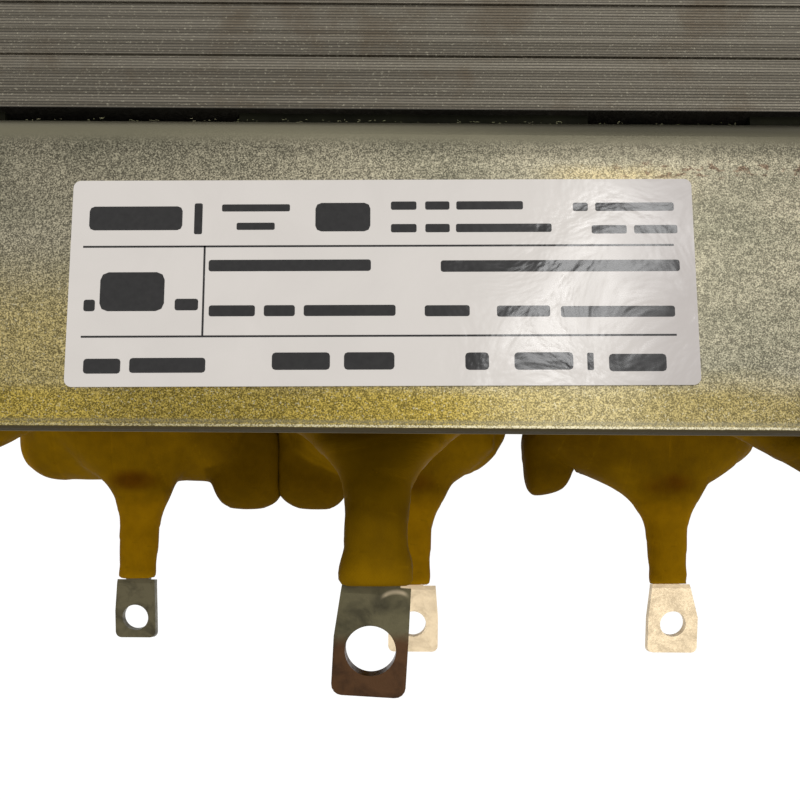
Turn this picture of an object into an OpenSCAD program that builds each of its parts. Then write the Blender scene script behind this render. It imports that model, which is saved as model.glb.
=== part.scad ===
// Three-phase line reactor: a laminated three-limb core with air gaps, three taped coils with
// flat terminal lugs, and a clamping frame of bent angles and tie straps.
// Millimetres. +Z is up, +X runs along the yokes, the terminals point to -Y.
// The origin is the centre of the four mounting slots, on the base plane.

/* [Core] */
// Width of each limb and height of each yoke
limb_w = 48; // [44:1:52]
// Height of the winding window
window_h = 143; // [140:1:150]
// Thickness of the lamination stack, front to back
stack_d = 66; // [60:1:66]
// Thickness of the gap plates on the limbs
gap_t = 2; // [1:0.5:3]
// Drop of the top yoke below the top of the angles
yoke_drop = 1; // [0:0.5:2]
// Number of sheet packets in the stack
packets = 7; // [3:1:9]

/* [Clamping frame] */
// Sheet thickness of the angles
angle_t = 2.5; // [2:0.5:3]
// Length of the angles
angle_len = 328; // [326:1:340]
// Height of an angle's upright leg
leg_h = 50; // [48:1:52]
// Reach of the top angles' shelves from the leg's inner face
shelf_reach = 52.5; // [44:0.5:58]
// Outer radius of the bend
bend_r = 3.5; // [3.5:0.5:4.5]
// Thickness of the packing pads between core and angles
pad_t = 1.5; // [1.5:0.5:3]
// Width of a tie strap
strap_w = 16; // [14:1:18]
// Thickness of a tie strap
strap_t = 4; // [3:0.5:5]
// Distance from the middle to the tie straps and mounting slots
end_x = 151; // [150:1:153]
// Diameter of the clamp bolts
bolt_d = 8; // [6:1:8]
// Width of the mounting slots
slot_w = 9; // [7:0.5:9]
// End-to-end length of the mounting slots
slot_len = 16; // [12:1:18]
// Distance between the front and rear mounting slots
slot_pitch_y = 40; // [36:1:44]

/* [Coils] */
// Wall of the coil formers
former_t = 2; // [1.5:0.5:2.5]
// Height of the flat bar that is wound
bar_h = 14; // [12:0.5:14]
// Radial thickness of the flat bar
bar_t = 6; // [4:0.5:6]
// Turns in each layer
turns = 9; // [5:1:9]
// Depth of the cooling duct between the layers, front and back
duct_d = 3; // [2:0.5:3]
// From the middle of the limb to the front and back of a taped coil
wrap_reach = 54.5; // [54:0.5:58]
// Length of the taped lobe at the foot of a coil, front to back
lobe_len = 34; // [30:1:40]
// Height of that lobe
lobe_h = 17; // [12:1:24]

/* [Leads and lugs] */
// Height of the start lugs above the base plane
start_z = 213.5; // [210:0.5:216]
// Height of the finish lugs above the base plane
finish_z = 76; // [73:0.5:79]
// Thickness of a lug
lug_t = 3; // [2:0.5:4]
// Diameter of the hole in the start lugs
start_hole_d = 9.5; // [8:0.5:10]
// Diameter of the hole in the finish lugs
finish_hole_d = 9; // [8:0.5:10]
// Downward bend of the bare lugs
lug_tilt = 12; // [0:1:20]

/* [Label] */
// Size of the rating label
label_size = [99.5, 34]; // [30:0.5:100]
// Place of its middle, from the middle of the reactor
label_at = [1.2, -63]; // [-66:0.1:4]
// Turn of the label on the shelf, which was stuck on a little askew
label_turn = 0.6; // [-1:0.1:1]
// Thickness of the rating label
label_t = 0.3; // [0.2:0.1:0.5]

/* [Hidden] */

$fn = 48;
slack = 0.5;

// Core levels and faces
pitch_x = 2 * limb_w;
core_w = 5 * limb_w;
core_z = angle_t;
window_z = core_z + limb_w;
yoke_z = window_z + window_h;
top_z = yoke_z + limb_w + yoke_drop;
stack_y = stack_d / 2;
leg_y = stack_y + pad_t;
groove = 0.5;

// Fasteners
bolt_z = [leg_h / 2, top_z - leg_h / 2];
hole_d = bolt_d + 1;
tube_d = bolt_d + 6;
washer_d = 2 * bolt_d;
washer_t = 0.2 * bolt_d;
nut_af = 1.625 * bolt_d;
head_h = 0.66 * bolt_d;
nut_h = 0.85 * bolt_d;
strap_overrun = 12;
pad_w = 58;
pad_h = 45;
pad_x = [-core_w / 2 + pad_w / 2, 6, core_w / 2 - pad_w / 2];
pad_margin = 1.5;
label_r = 1.2;

// Winding layers: half sizes of the outer outline, and the corner radius
former_x = limb_w / 2 + slack + former_t;
former_y = stack_y + slack + former_t;
former_r = 3;
former_z = [max(window_z, leg_h), top_z - max(limb_w + yoke_drop, leg_h) - slack];
inner_x = former_x + bar_t;
inner_y = former_y + bar_t;
outer_x = inner_x + 1 + bar_t;
outer_y = inner_y + duct_d + bar_t;
inner_r = 8;
outer_r = 16;
turn_pitch = bar_h + 0.6;
wind_h = turns * turn_pitch - 0.6;
wind_z = window_z + (window_h - wind_h) / 2;
wrap_end = 3;
wrap_z = [wind_z - wrap_end, wind_z + wind_h + wrap_end];
wrap_r = 20;
head_front = 70;
stick_w = 6;
stick_x = 20.5;
front_stick_x = -11.5;

// Lead bars
lead_w = 8;
lead_t = 3;
tail_w = 8;
sleeve_w = 11.8;
tail = 12;
lug_bend = 1.5;
lug_r = 2;

// One row per coil: middle of the limb, left side, right side and front of its foot, the foot's
// front corner radii, the middle, width and front of the lobe beside the lead, then the middle of
// the finish lead's flare at its root and how much wider it is than the middling one
coil_left = [-pitch_x, -41.5, 43, 71.8, 13, 14, 42.5, 24.6, 82.8, 0.5, -0.3];
coil_centre = [0, -41.4, 43.5, 70, 18, 20, -27.6, 25.6, 82.6, 0.5, 0.15];
coil_right = [pitch_x, -43, 43.5, 67.5, 16, 20, -36.4, 19, 76.6, -3, 0.2];

// One row per lug: middle x from the limb, hole centre y, tip y, end of the tape y,
// width at the tip, width at the tape, yaw, middle x of its lead
start_left = [-1, 122.5, 131, 111, 14, 13, 2, 0];
start_centre = [-1.1, 122.6, 131.4, 110.8, 13.9, 12.8, -3, -0.2];
start_right = [1, 122.5, 131, 111, 14, 13, 1, 0];
finish_left = [7.4, 122, 129.3, 108.8, 14, 13, 0, 8.3];
finish_centre = [9, 123.6, 133.6, 110.3, 17.4, 16, 0, 8.5];
finish_right = [4.2, 123, 133.3, 109.2, 17.3, 13, 0, 2.1];

// Plain shapes

module rounded_rect(hx, hy, r) {
    square([2 * hx, 2 * (hy - r)], center = true);
    square([2 * (hx - r), 2 * hy], center = true);
    for (sx = [-1, 1]) for (sy = [-1, 1]) translate([sx * (hx - r), sy * (hy - r)]) circle(r);
}

module slot_shape(len, w) {
    square([len - w, w], center = true);
    for (sx = [-1, 1]) translate([sx * (len - w) / 2, 0]) circle(d = w);
}

// A profile drawn with front-to-back to the right and height upwards, extruded along X
module along_x(length) {
    rotate([90, 0, 90]) linear_extrude(length, center = true) children();
}

module along_y(length) {
    rotate([-90, 0, 0]) linear_extrude(length) children();
}

// A skin through equal rings of points, closed at both ends
module loft(rings) {
    n = len(rings[0]);
    last = len(rings) - 1;
    points = [for (ring = rings) each ring];
    sides = [for (k = [0:last - 1]) for (i = [0:n - 1])
        let (a = k * n + i, b = k * n + (i + 1) % n) each [[a, a + n, b], [b, a + n, b + n]]];
    ends = [[for (i = [0:n - 1]) i], [for (i = [n - 1:-1:0]) last * n + i]];
    polyhedron(points = points, faces = concat(sides, ends));
}

// Core

module packet_grooves(w, h) {
    for (k = [1:packets - 1]) {
        y = -stack_y + k * stack_d / packets;
        translate([0, y + groove / 2, 0]) rotate([90, 0, 0]) linear_extrude(groove) difference() {
            square([w + 2, h + 2], center = true);
            square([w - 2 * groove, h - 2 * groove], center = true);
        }
    }
}

module core_comb() {
    comb_h = limb_w + window_h - gap_t;
    color("dimgray") difference() {
        translate([0, stack_y, core_z]) rotate([90, 0, 0]) linear_extrude(stack_d) {
            translate([-core_w / 2, 0]) square([core_w, limb_w]);
            for (k = [-1:1]) translate([k * pitch_x - limb_w / 2, 0]) square([limb_w, comb_h]);
        }
        translate([0, 0, core_z + limb_w / 2]) packet_grooves(core_w, limb_w);
    }
}

module core_yoke() {
    color("dimgray") difference() {
        translate([-core_w / 2, -stack_y, yoke_z]) cube([core_w, stack_d, limb_w]);
        translate([0, 0, yoke_z + limb_w / 2]) packet_grooves(core_w, limb_w);
    }
}

module gap_plate(x) {
    color("wheat") translate([x - limb_w / 2, -stack_y, yoke_z - gap_t]) cube([limb_w, stack_d, gap_t]);
}

// Coils

module former(x) {
    color("tan") translate([x, 0, former_z[0]]) linear_extrude(former_z[1] - former_z[0]) difference() {
        rounded_rect(former_x, former_y, former_r);
        square([limb_w + 2 * slack, stack_d + 2 * slack], center = true);
    }
}

// One layer: level loops, open at the front, each joined to the next by a sloping bar there
module winding_layer(hx, hy, r, start_x, finish_x) {
    flat = hx - r;
    last = turns - 1;
    for (k = [0:last]) translate([0, 0, k * turn_pitch]) linear_extrude(bar_h) difference() {
        rounded_rect(hx, hy, r);
        rounded_rect(hx - bar_t, hy - bar_t, r - bar_t);
        translate([-flat, -hy - 1]) square([2 * flat, bar_t + 2]);
    }
    for (k = [0:last - 1]) translate([0, -hy + bar_t, k * turn_pitch]) rotate([90, 0, 0])
        linear_extrude(bar_t) polygon([[-flat, 0], [flat, turn_pitch], [flat, turn_pitch + bar_h],
            [-flat, bar_h]]);
    translate([finish_x - lead_w / 2, -hy, 0]) cube([flat - finish_x + lead_w / 2, bar_t, bar_h]);
    translate([-flat, -hy, last * turn_pitch]) cube([flat + start_x + lead_w / 2, bar_t, bar_h]);
}

// Side view of the start lead bar: out of the top turn, up to the lug's level, and forward
module start_bar_shape(end_y) {
    z0 = wind_z + wind_h - bar_h + 5;
    z1 = start_z + lug_t / 2;
    y1 = -outer_y - 12;
    y2 = -end_y + tail + 2;
    polygon([[-inner_y, z0], [y1 + 1, z0], [y2 + 1, z1], [-end_y, z1], [-end_y, z1 + lead_t],
        [y2 - 1, z1 + lead_t], [y1 - 1, z0 + lead_t], [-inner_y, z0 + lead_t]]);
}

// Side view of the finish lead bar: out of the bottom turn, up outside the coil, and forward
module finish_bar_shape(end_y) {
    z0 = wind_z + 5;
    z1 = finish_z + lug_t / 2;
    y1 = -outer_y - 1;
    polygon([[-inner_y, z0], [y1 - lead_t, z0], [y1 - lead_t, z1], [-end_y, z1], [-end_y, z1 + lead_t],
        [y1, z1 + lead_t], [y1, z0 + lead_t], [-inner_y, z0 + lead_t]]);
}

module lead_bars(start, finish) {
    translate([start[7], 0, 0]) along_x(lead_w) start_bar_shape(start[3] - 1);
    translate([finish[7], 0, 0]) along_x(lead_w) finish_bar_shape(finish[3] - 1);
}

module winding(coil, start, finish) {
    color("peru") translate([coil[0], 0, 0]) {
        translate([0, 0, wind_z]) {
            winding_layer(inner_x, inner_y, inner_r, start[7], finish[7]);
            winding_layer(outer_x, outer_y, outer_r, start[7], finish[7]);
        }
        lead_bars(start, finish);
    }
}

module duct_sticks(x) {
    y = inner_y + duct_d / 2;
    front = [for (sx = [-stick_x, front_stick_x, stick_x]) [sx, -y]];
    back = [for (sx = [-stick_x, 0, stick_x]) [sx, y]];
    color("burlywood") for (p = concat(front, back))
        translate([x + p[0], p[1], wind_z + wind_h / 2]) cube([stick_w, duct_d, wind_h], center = true);
}

// Outline of the taped coil at one level, drawn in by inset
function arc_points(cx, cy, r, from, to, n) =
    [for (i = [0:n]) let (a = from + (to - from) * i / n) [cx + r * cos(a), cy + r * sin(a)]];

function wrap_outline(coil, front, rl, rr, inset) =
    let (xl = coil[1] + inset, xr = coil[2] - inset, yf = inset - front, yb = wrap_reach - inset,
        soft_l = rl - inset / 2, soft_r = rr - inset / 2, soft_b = wrap_r - inset / 2)
    concat(
        arc_points(xl + soft_l, yf + soft_l, soft_l, 180, 270, 6),
        arc_points(xr - soft_r, yf + soft_r, soft_r, 270, 360, 6),
        arc_points(xr - soft_b, yb - soft_b, soft_b, 0, 90, 6),
        arc_points(xl + soft_b, yb - soft_b, soft_b, 90, 180, 6));

// An outline of a bar with soft corners, by the rule |x/a|^n + |y/b|^n = 1
function soft_outline(a, b, n, count) =
    [for (i = [0:count - 1]) let (t = 360 * i / count, c = cos(t), s = sin(t))
        [a * sign(c) * pow(abs(c), 2 / n), b * sign(s) * pow(abs(s), 2 / n)]];

// The coil's body under the tape. Each level is [distance from the end face, inset there].
module wrap_body(coil) {
    levels = [[0, 7], [1.2, 3.4], [3.6, 1.2], [8, 0]];
    span = wrap_z[1] - wrap_z[0];
    heights = [for (l = levels) l, for (i = [len(levels) - 1:-1:0]) [span - levels[i][0], levels[i][1]]];
    loft([for (h = heights) [for (p = wrap_outline(coil, wrap_reach, wrap_r, wrap_r, h[1]))
        [p[0], p[1], wrap_z[0] + h[0]]]]);
}

// The foot of a coil, where the tape runs forward over the crossing bars and slopes back to the body.
// Each level is [height above the coil's lower end, inset there].
module wrap_foot(coil, front, rl, rr) {
    levels = [[0, 7], [1.2, 3.4], [3.6, 1.2], [7, 0], [12, 0.2], [16, 1.4], [20, 4], [24, 8], [30, 14],
        [36, 18.5]];
    loft([for (l = levels) [for (p = wrap_outline(coil, front, rl, rr, l[1]))
        [p[0], p[1], wrap_z[0] + l[0]]]]);
}

// The head is the same form at the upper end
module wrap_head(coil) {
    translate([0, 0, wrap_z[0] + wrap_z[1]]) mirror([0, 0, 1]) wrap_foot(coil, head_front, wrap_r, wrap_r);
}

// The lobe that the packing under the tape makes at the coil's foot, beside the lead.
// Each level is [height above the lobe's foot, as a share of its height, size there].
module wrap_lobe(coil) {
    levels = [[0, 0.62], [0.1, 0.84], [0.3, 0.97], [0.5, 1], [0.7, 0.97], [0.88, 0.86], [1, 0.68]];
    half_l = lobe_len / 2;
    outline = soft_outline(coil[7] / 2, half_l, 3.2, 28);
    loft([for (level = levels) [for (p = outline)
        [coil[6] + level[1] * p[0], half_l - coil[8] + level[1] * p[1], wrap_z[0] + level[0] * lobe_h]]]);
}

// A taped lead: sections across the lead, from inside the coil's front out to the tape's end.
// Each section is [distance forward, height of its middle above the lug's face, half width,
// half height, share of the way across from the root's middle to the lead's].
module taped_lead(coil, root_x, x, z, wider, sections) {
    widest = (coil[2] - coil[1]) / 2 - 4;
    loft([for (s = sections)
        let (half_w = min(widest, s[2] + wider * (s[2] - sleeve_w / 2)),
            mid_x = root_x + s[4] * (x - root_x), mid_z = z + lug_t / 2 + s[1])
            [for (p = soft_outline(half_w, s[3], 2.4, 24)) [mid_x + p[0], -s[0], mid_z + p[1]]]]);
}

function start_sections(end_y) = [
    [56, -35, 38, 11, 0], [66, -32.5, 32, 12, 0.2], [73, -27, 24, 12, 0.6], [79, -20.5, 16.6, 11.6, 1],
    [84, -14.5, 11.6, 10.5, 1], [88, -10, 8.2, 9, 1], [92, -6, 6.4, 7.6, 1], [98, -1.5, 5.5, 6.3, 1],
    [104, 0, 5.9, 5.7, 1], [107.5, 0, 6.9, 5.5, 1], [end_y, 0, 7, 5.1, 1]];

function finish_sections(end_y) = [
    [54, -5.5, 38, 19, 0], [61, -5.7, 32, 17.6, 0.15], [67, -5.5, 25.5, 15.6, 0.4],
    [70.5, -4.7, 20.5, 13.6, 0.6], [74, -3.5, 14.8, 11.4, 0.8], [79.5, -1.5, 11, 8.8, 1],
    [84, -0.5, 8.4, 7.6, 1], [88, -0.1, 7, 6.8, 1], [94, 0, 6.2, 6, 1], [101, 0, sleeve_w / 2, 5.5, 1],
    [end_y, 0, 6.3, 5, 1]];

module wrap(coil, start, finish) {
    color("goldenrod") translate([coil[0], 0, 0]) difference() {
        union() {
            wrap_body(coil);
            wrap_foot(coil, coil[3], coil[4], coil[5]);
            wrap_head(coil);
            wrap_lobe(coil);
            taped_lead(coil, 0.5, start[7], start_z, 0, start_sections(start[3]));
            taped_lead(coil, coil[9], finish[7], finish_z, coil[10], finish_sections(finish[3]));
        }
        translate([0, 0, wind_z - 0.5]) linear_extrude(wind_h + 1) rounded_rect(outer_x, outer_y, outer_r);
        translate([0, 0, window_z]) linear_extrude(window_h) rounded_rect(former_x, former_y, former_r);
        lead_bars(start, finish);
        lug_body(start, start_z);
        lug_body(finish, finish_z);
    }
}

// Lugs

// Side view of a lug: level inside the tape, bent down a little where it is bare
module lug_side(lug, z) {
    h = lug_t / 2;
    bend_y = -lug[3] - lug_bend;
    reach = lug[2] + bend_y + 8;
    k = h * tan(lug_tilt / 2);
    end_y = bend_y - k - reach * cos(lug_tilt);
    end_z = z + h - reach * sin(lug_tilt);
    polygon([[-lug[3] + tail, z - h], [-lug[3] + tail, z + h], [bend_y - k, z + h], [end_y, end_z],
        [end_y + lug_t * sin(lug_tilt), end_z - lug_t * cos(lug_tilt)], [bend_y + k, z - h]]);
}

// Plan of a lug: a narrow tail under the tape, then the blade with its rounded tip corners
module lug_plan(lug) {
    x = lug[0];
    tip = lug[4] / 2;
    root = lug[5] / 2;
    root_y = -lug[3] - 0.2;
    wide_y = -lug[1] + 2;
    root_x = (x + lug[7]) / 2;
    tail_l = lug[7] - tail_w / 2;
    tail_r = lug[7] + tail_w / 2;
    tail_y = tail - lug[3];
    corner_x = tip - lug_r;
    corner_y = -lug[2] + lug_r;
    polygon(concat(
        arc_points(x - corner_x, corner_y, lug_r, 180, 270, 4),
        arc_points(x + corner_x, corner_y, lug_r, 270, 360, 4),
        [[x + tip, wide_y], [root_x + root, root_y], [tail_r, root_y], [tail_r, tail_y],
            [tail_l, tail_y], [tail_l, root_y], [root_x - root, root_y], [x - tip, wide_y]]));
}

module lug_body(lug, z) {
    translate([lug[0], -lug[1], 0]) rotate([0, 0, lug[6]]) translate([-lug[0], lug[1], 0])
        intersection() {
            along_x(60) lug_side(lug, z);
            translate([0, 0, z - 20]) linear_extrude(40) lug_plan(lug);
        }
}

module lug(coil, lug, z, hole) {
    drop = (lug[1] - lug[3] - lug_bend) * tan(lug_tilt);
    color("silver") translate([coil[0], 0, 0]) difference() {
        lug_body(lug, z);
        translate([lug[0], -lug[1], z - drop]) rotate([lug_tilt, 0, lug[6]])
            cylinder(d = hole, h = 20, center = true);
    }
}

// Clamping frame

// Section of an angle: leg upwards from the bend, shelf away from it
module angle_section(shelf, leg) {
    difference() {
        union() {
            translate([bend_r, 0]) square([shelf - bend_r, angle_t]);
            translate([0, bend_r]) square([angle_t, leg - bend_r]);
            intersection() {
                translate([bend_r, bend_r]) circle(bend_r);
                square(bend_r);
            }
        }
        translate([bend_r, bend_r]) circle(bend_r - angle_t);
    }
}

module leg_holes(z) {
    for (sx = [-1, 1]) translate([sx * end_x, -leg_y - 10, z]) along_y(20) circle(d = hole_d);
}

// Front top angle: the leg hangs down the core's face, the shelf points forward
module top_angle() {
    color("lightgray") difference() {
        translate([0, -leg_y, top_z]) along_x(angle_len) rotate(180) angle_section(shelf_reach, leg_h);
        leg_holes(bolt_z[1]);
    }
}

// Front bottom angle: the leg stands on the core's face, the shelf lies under the core
module bottom_angle() {
    color("lightgray") difference() {
        translate([0, -leg_y - angle_t, 0]) along_x(angle_len) angle_section(leg_y + angle_t - 1, leg_h);
        leg_holes(bolt_z[0]);
        for (sx = [-1, 1]) translate([sx * end_x, -slot_pitch_y / 2, -1])
            linear_extrude(angle_t + 2) slot_shape(slot_len, slot_w);
    }
}

// Packing pads between the core and a front angle, z being the height of the yoke's underside
module pads(z) {
    color("dimgray") for (x = pad_x) translate([x - pad_w / 2, -leg_y, z + pad_margin])
        cube([pad_w, pad_t, pad_h]);
}

module tie_strap(sx) {
    h = bolt_z[1] - bolt_z[0] + 2 * strap_overrun;
    color("silver") translate([sx * end_x, 0, 0]) difference() {
        translate([-strap_w / 2, -leg_y, bolt_z[0] - strap_overrun]) cube([strap_w, strap_t, h]);
        for (z = bolt_z) translate([0, -leg_y - 1, z]) along_y(strap_t + 2) circle(d = hole_d);
    }
}

module at_bolts() {
    for (sx = [-1, 1]) for (z = bolt_z) translate([sx * end_x, 0, z]) children();
}

module spacer_tubes() {
    y = leg_y - strap_t;
    color("silver") at_bolts() translate([0, -y, 0]) along_y(2 * y) difference() {
        circle(d = tube_d);
        circle(d = hole_d);
    }
}

module hexagon(af) {
    circle(d = af / cos(30), $fn = 6);
}

module clamp_bolts() {
    y = leg_y + angle_t + washer_t;
    color("silver") at_bolts() translate([0, -y, 0]) {
        translate([0, -head_h, 0]) along_y(head_h) hexagon(nut_af);
        along_y(2 * y + nut_h + 1.5) circle(d = bolt_d);
    }
}

module clamp_washers() {
    y = leg_y + angle_t;
    color("silver") at_bolts() for (sy = [-1, 1]) translate([0, sy > 0 ? y : -y - washer_t, 0])
        along_y(washer_t) difference() {
            circle(d = washer_d);
            circle(d = bolt_d + 0.4);
        }
}

module clamp_nuts() {
    y = leg_y + angle_t + washer_t;
    color("silver") at_bolts() translate([0, y, 0]) along_y(nut_h) difference() {
        hexagon(nut_af);
        circle(d = bolt_d);
    }
}

module label() {
    color("white") translate([label_at[0], label_at[1], top_z]) rotate(label_turn)
        linear_extrude(label_t) rounded_rect(label_size[0] / 2, label_size[1] / 2, label_r);
}

module rear() {
    mirror([0, 1, 0]) children();
}

core_comb();
core_yoke();
gap_plate(-pitch_x);  // gap_plate_left
gap_plate(0);  // gap_plate_centre
gap_plate(pitch_x);  // gap_plate_right
former(-pitch_x);  // former_left
former(0);  // former_centre
former(pitch_x);  // former_right
winding(coil_left, start_left, finish_left);  // winding_left
winding(coil_centre, start_centre, finish_centre);  // winding_centre
winding(coil_right, start_right, finish_right);  // winding_right
duct_sticks(-pitch_x);  // duct_sticks_left
duct_sticks(0);  // duct_sticks_centre
duct_sticks(pitch_x);  // duct_sticks_right
wrap(coil_left, start_left, finish_left);  // wrap_left
wrap(coil_centre, start_centre, finish_centre);  // wrap_centre
wrap(coil_right, start_right, finish_right);  // wrap_right
lug(coil_left, start_left, start_z, start_hole_d);  // start_lug_left
lug(coil_centre, start_centre, start_z, start_hole_d);  // start_lug_centre
lug(coil_right, start_right, start_z, start_hole_d);  // start_lug_right
lug(coil_left, finish_left, finish_z, finish_hole_d);  // finish_lug_left
lug(coil_centre, finish_centre, finish_z, finish_hole_d);  // finish_lug_centre
lug(coil_right, finish_right, finish_z, finish_hole_d);  // finish_lug_right
top_angle();  // top_angle_front
rear() top_angle();  // top_angle_rear
bottom_angle();  // bottom_angle_front
rear() bottom_angle();  // bottom_angle_rear
pads(yoke_z);  // pads_top_front
rear() pads(yoke_z);  // pads_top_rear
pads(core_z);  // pads_bottom_front
rear() pads(core_z);  // pads_bottom_rear
tie_strap(-1);  // tie_strap_front_left
tie_strap(1);  // tie_strap_front_right
rear() tie_strap(-1);  // tie_strap_rear_left
rear() tie_strap(1);  // tie_strap_rear_right
spacer_tubes();
clamp_bolts();
clamp_washers();
clamp_nuts();
label();
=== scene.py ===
import bpy
import math
import random
from types import SimpleNamespace
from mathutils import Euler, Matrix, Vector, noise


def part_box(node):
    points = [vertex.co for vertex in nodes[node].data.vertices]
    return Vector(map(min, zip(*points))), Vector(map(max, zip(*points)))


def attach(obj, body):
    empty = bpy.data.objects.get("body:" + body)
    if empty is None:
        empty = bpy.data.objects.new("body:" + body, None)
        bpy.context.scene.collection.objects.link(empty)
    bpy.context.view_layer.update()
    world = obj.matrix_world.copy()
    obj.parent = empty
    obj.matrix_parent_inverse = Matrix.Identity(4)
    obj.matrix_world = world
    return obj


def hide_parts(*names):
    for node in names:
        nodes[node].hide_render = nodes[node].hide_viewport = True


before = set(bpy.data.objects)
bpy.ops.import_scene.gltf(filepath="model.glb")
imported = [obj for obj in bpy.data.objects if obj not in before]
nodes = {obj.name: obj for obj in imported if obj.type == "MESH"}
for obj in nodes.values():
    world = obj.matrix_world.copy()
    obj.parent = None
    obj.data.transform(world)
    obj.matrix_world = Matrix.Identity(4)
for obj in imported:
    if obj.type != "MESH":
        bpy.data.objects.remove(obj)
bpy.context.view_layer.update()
mm = 0.001
print("frame loaded:", len(nodes), "nodes")


# camera: nearly straight down, just in front of the top angle's shelf
camera = {
    "place": (4.3 * mm, -111.1 * mm, 368.4 * mm),
    "tip": 7.4,     # degrees towards the rear
    "turn": 0.4,
    "lens": 37.1,
    "shift": 0.10,
    "nearest": 10 * mm,
}


def addCamera():
    data = bpy.data.cameras.new("camera")
    data.lens = camera["lens"]
    data.shift_y = camera["shift"]
    data.clip_start = camera["nearest"]
    eye = bpy.data.objects.new("camera", data)
    eye.location = camera["place"]
    eye.rotation_euler = Euler((math.radians(camera["tip"]), 0, math.radians(camera["turn"])))
    bpy.context.scene.collection.objects.link(eye)
    bpy.context.scene.camera = eye


# one wrapped socket; sums, differences and products add their Math nodes
class Link:
    def __init__(self, tree, socket=None):
        self.tree = tree
        self.socket = socket

    def node(self, kind, settings=None, inputs=None, output=0):
        made = self.tree.nodes.new(kind)
        for name, value in (settings or {}).items():
            setattr(made, name, value)
        for name, value in (inputs or {}).items():
            if isinstance(value, Link):
                self.tree.links.new(value.socket, made.inputs[name])
            else:
                made.inputs[name].default_value = value
        return Link(self.tree, made.outputs[output])

    def math(self, operation, first, second=0.0):
        return self.node("ShaderNodeMath", {"operation": operation}, {0: first, 1: second})

    def __add__(self, other):
        return self.math("ADD", self, other)

    def __sub__(self, other):
        return self.math("SUBTRACT", self, other)

    def __rsub__(self, other):
        return self.math("SUBTRACT", other, self)

    def __mul__(self, other):
        return self.math("MULTIPLY", self, other)

    __radd__ = __add__
    __rmul__ = __mul__


def newMaterial(name, **fixed):
    material = bpy.data.materials.new(name)
    material.use_nodes = True
    shader = material.node_tree.nodes["Principled BSDF"]
    for key, value in fixed.items():
        shader.inputs[key.replace("_", " ")].default_value = value
    return material, Link(material.node_tree), shader


def feed(shader, name, link):
    link.tree.links.new(link.socket, shader.inputs[name])


def place(start):
    return start.node("ShaderNodeTexCoord", output="Object")


def split(start, vector):
    return [start.node("ShaderNodeSeparateXYZ", {}, {0: vector}, output=axis) for axis in range(3)]


def noiseOf(start, vector, scale, detail=3.0, rough=0.5, warp=0.0):
    return start.node("ShaderNodeTexNoise", {}, {"Vector": vector, "Scale": scale, "Detail": detail,
                                               "Roughness": rough, "Distortion": warp})


def stretched(start, vector, scale):
    return start.node("ShaderNodeMapping", {}, {"Vector": vector, "Scale": scale})


def rise(start, value, low, high, fromValue=0.0, toValue=1.0):
    spans = {"From Min": low, "From Max": high, "To Min": fromValue, "To Max": toValue}
    return start.node("ShaderNodeMapRange", {"interpolation_type": "SMOOTHSTEP"}, {"Value": value, **spans})


def between(start, value, low, high, soft):
    return rise(start, value, low - soft, low + soft) * rise(start, value, high - soft, high + soft, 1, 0)


def rgba(colour):
    return colour if isinstance(colour, Link) else (*colour, 1)


def blend(start, amount, first, second):
    pair = {"Factor": amount, 6: rgba(first), 7: rgba(second)}
    return start.node("ShaderNodeMix", {"data_type": "RGBA"}, pair, output=2)


def scaled(start, colour, factor):
    return start.node("ShaderNodeVectorMath", {"operation": "SCALE"}, {0: colour, "Scale": factor})


def bump(start, height, distance, strength=1.0, under=None):
    inputs = {"Height": height, "Distance": distance, "Strength": strength}
    if under is not None:
        inputs["Normal"] = under
    return start.node("ShaderNodeBump", {}, inputs)


def dress(material, *names):
    for name in names:
        for slot in nodes[name].material_slots:
            slot.material = material


# the top angles' shelves: upper face, sheared front, start of the bend, sheet
shelfTop = 242.5 * mm
shelfFront = 87 * mm
shelfBend = 38 * mm
sheetT = 2.5 * mm

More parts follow.
